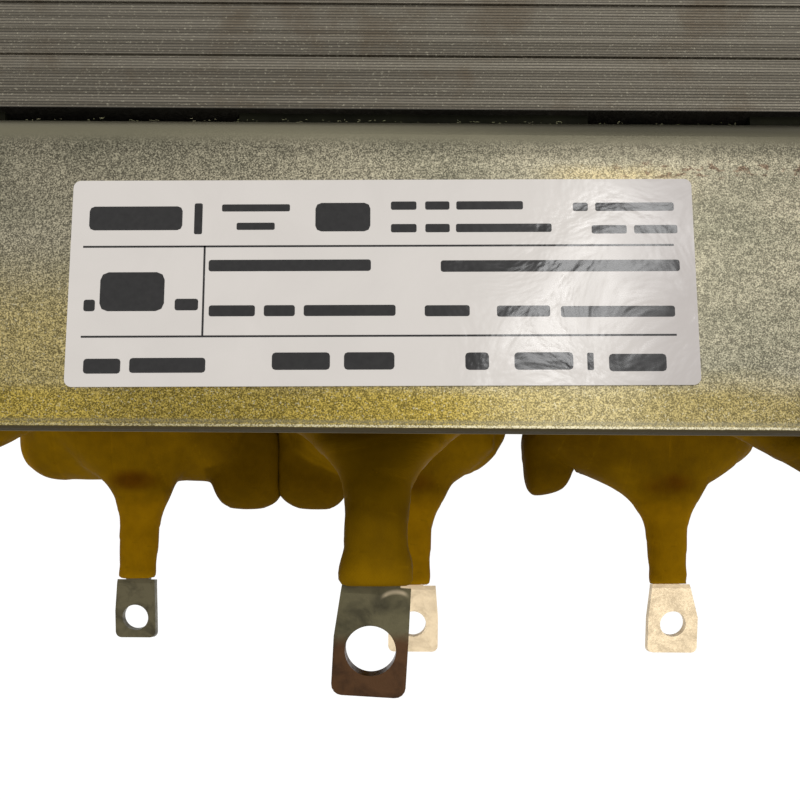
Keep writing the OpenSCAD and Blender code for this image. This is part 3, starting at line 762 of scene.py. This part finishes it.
def windTape(piece, coil):
    mesh = piece.data
    spread = mesh.attributes.new("tapePlace", "FLOAT_VECTOR", "POINT")
    tint = mesh.attributes.new("tapeTint", "FLOAT_VECTOR", "POINT")
    normals = [v.normal.copy() for v in mesh.vertices]
    heights = [v.co.z for v in mesh.vertices if v.co.y > 0]
    foot, head = min(heights), max(heights)
    for v, normal in zip(mesh.vertices, normals):
        x, y, z = v.co.x - coil["limbX"], v.co.y, v.co.z
        low = z < tape["middleZ"]
        leadX, leadZ = (coil["finishX"], tape["finishZ"]) if low else (coil["startX"], tape["startZ"])
        ring = math.atan2(z - leadZ, x - leadX)
        around = wayRound(x, y)
        along = fade(-y, *tape["leadFrom"])
        coilLap, coilRise = saw((around + tape["coilLean"] * z) / tape["coilPitch"])
        leadLap, leadRise = saw((-y + tape["leadLean"] * ring) / tape["leadPitch"])
        v.co += normal * tapeHeight(v.co, along, (1 - along) * coilRise + along * leadRise)
        growEnds(v, normal, y, z, foot, head)
        onCoil, onLead = (around, z, coilLap), (-y, ring * tape["leadRadius"], leadLap)
        spread.data[v.index].vector = onCoil if along < 0.5 else onLead
        lobe, root = footShares(coil, x, y, z)
        v.co.y += lobe * (x - coil["lobeX"]) * coil["slant"]
        if coil["limbX"] <= 0:
            pressLobes(v, normal, coil, lobe)
        tint.data[v.index].vector = (lobe, root, along) if low else (lobe, 0, 0)


# dust fibres that hang on the bend of the shelf
fibres = {
    "seed": 5,
    "count": 100,
    "radius": 0.022 * mm,
    "thickness": (0.6, 1.2),        # share of the radius
    "x": (-58 * mm, 62 * mm),
    "y": -34.85 * mm,
    "z": 240.6 * mm,
    "behind": (0.0, 0.5),           # millimetres
    "above": (0.3, 1.0),
    "short": (0.15, 0.45),
    "long": (0.15, 1.2),            # every fifth one
    "heading": (-0.6, math.pi + 0.6),
    "lift": (0.1, 0.5),
    "curl": 0.35,
}


def bentStrand(rng, begin, step, length):
    bpy.ops.curve.primitive_bezier_curve_add(location=(0, 0, 0))
    curve = bpy.context.object.data
    for point, at in zip(curve.splines[0].bezier_points, (begin, begin + step)):
        point.handle_left_type = point.handle_right_type = "FREE"
        point.co = at
        turn = Vector((rng.uniform(-1, 1), rng.uniform(-1, 1), rng.uniform(0, 1))) * length * fibres["curl"]
        point.handle_left = at - turn
        point.handle_right = at + turn
    curve.bevel_depth = fibres["radius"] * rng.uniform(*fibres["thickness"])
    curve.bevel_resolution = 1
    curve.resolution_u = 6
    bpy.ops.object.convert(target="MESH")
    return bpy.context.object


def addFibres(material):
    rng = random.Random(fibres["seed"])
    made = []
    for k in range(fibres["count"]):
        x = rng.uniform(*fibres["x"])
        length = rng.uniform(*fibres["short" if k % 5 else "long"]) * mm
        heading = rng.uniform(*fibres["heading"])
        lift = rng.uniform(*fibres["lift"])
        y = fibres["y"] - rng.uniform(*fibres["behind"]) * mm
        z = fibres["z"] + rng.uniform(*fibres["above"]) * mm
        step = Vector((math.cos(heading), -0.3 * abs(math.sin(heading)), lift)) * length
        clearSelection()
        made.append(bentStrand(rng, Vector((x, y, z)), step, length))
    settle(joined(made), "dust_fibres", material)
    print("dust fibres:", len(made))


# floor and light
studio = {
    "floorSize": 6.0,
    "floor": (0.86, 0.86, 0.85),
    "floorGlow": 1.12,
    "glowShare": 0.9,
    "white": (1, 1, 1, 1),
    "sky": 0.60,
    "aim": (0, -0.05, 0.15),
    "lamps": {
        "key": {"place": (0.45, -0.6, 1.4), "size": (1.0, 1.0), "power": 6},
        "glint": {"place": (0.28, 0.32, 1.24), "size": (0.12, 0.30), "power": 3.0},
    },
}


# 1 for rays of the camera, mirrors and glass, 0 for light on the object
def lookedAt(start):
    names = ("Is Camera Ray", "Is Glossy Ray", "Is Transmission Ray")
    seen, glossy, glass = [start.node("ShaderNodeLightPath", output=name) for name in names]
    return start.math("MINIMUM", seen + glossy + glass, 1.0)


def addFloor():
    clearSelection()
    bpy.ops.mesh.primitive_plane_add(size=studio["floorSize"], location=(0, 0, 0))
    floor = bpy.context.object
    floor.name = "floor"
    material, start, shader = newMaterial("floor", Roughness=0.9)
    shader.inputs["Base Color"].default_value = rgba(studio["floor"])
    glow = start.node("ShaderNodeEmission", {}, {"Color": studio["white"], "Strength": studio["floorGlow"]})
    lit = Link(start.tree, shader.outputs[0])
    share = lookedAt(start) * studio["glowShare"]
    both = start.node("ShaderNodeMixShader", {}, {0: share, 1: lit, 2: glow})
    start.tree.links.new(both.socket, start.tree.nodes["Material Output"].inputs["Surface"])
    floor.data.materials.append(material)


def addLamp(name, row):
    data = bpy.data.lights.new(name, "AREA")
    data.energy = row["power"]
    data.shape = "RECTANGLE"
    data.size, data.size_y = row["size"]
    lamp = bpy.data.objects.new(name, data)
    lamp.location = row["place"]
    aim = Vector(studio["aim"]) - Vector(row["place"])
    lamp.rotation_euler = aim.to_track_quat("-Z", "Y").to_euler()
    bpy.context.scene.collection.objects.link(lamp)


def addStudio():
    world = bpy.data.worlds.new("studio")
    world.use_nodes = True
    bpy.context.scene.world = world
    back = world.node_tree.nodes["Background"]
    back.inputs["Color"].default_value = studio["white"]
    feed(back, "Strength", studio["sky"] + lookedAt(Link(world.node_tree)) * (1 - studio["sky"]))
    for name, row in studio["lamps"].items():
        addLamp(name, row)


bpy.context.scene.view_settings.view_transform = "Standard"
addCamera()
addStudio()
addFloor()
print("camera, light and floor in place")

dress(galvanisedSheet(), *sheet["on"])
dress(laminatedSteel(), *stack["on"])
plain = {name: plainFinish(name, row) for name, row in finishes.items()}
for name, row in finishes.items():
    dress(plain[name], *row["on"])
for name, row in lugMetal["finishes"].items():
    dress(lugFinish(name, row), *row["on"])
dress(labelFilm(), "label")
print("cad nodes dressed")

wrapTape = varnishedTape()
for side in tape["coils"]:
    tapedCoil(side, wrapTape)
printLabel(labelInk())
addFibres(plain["fibre"])
print("pieces made")
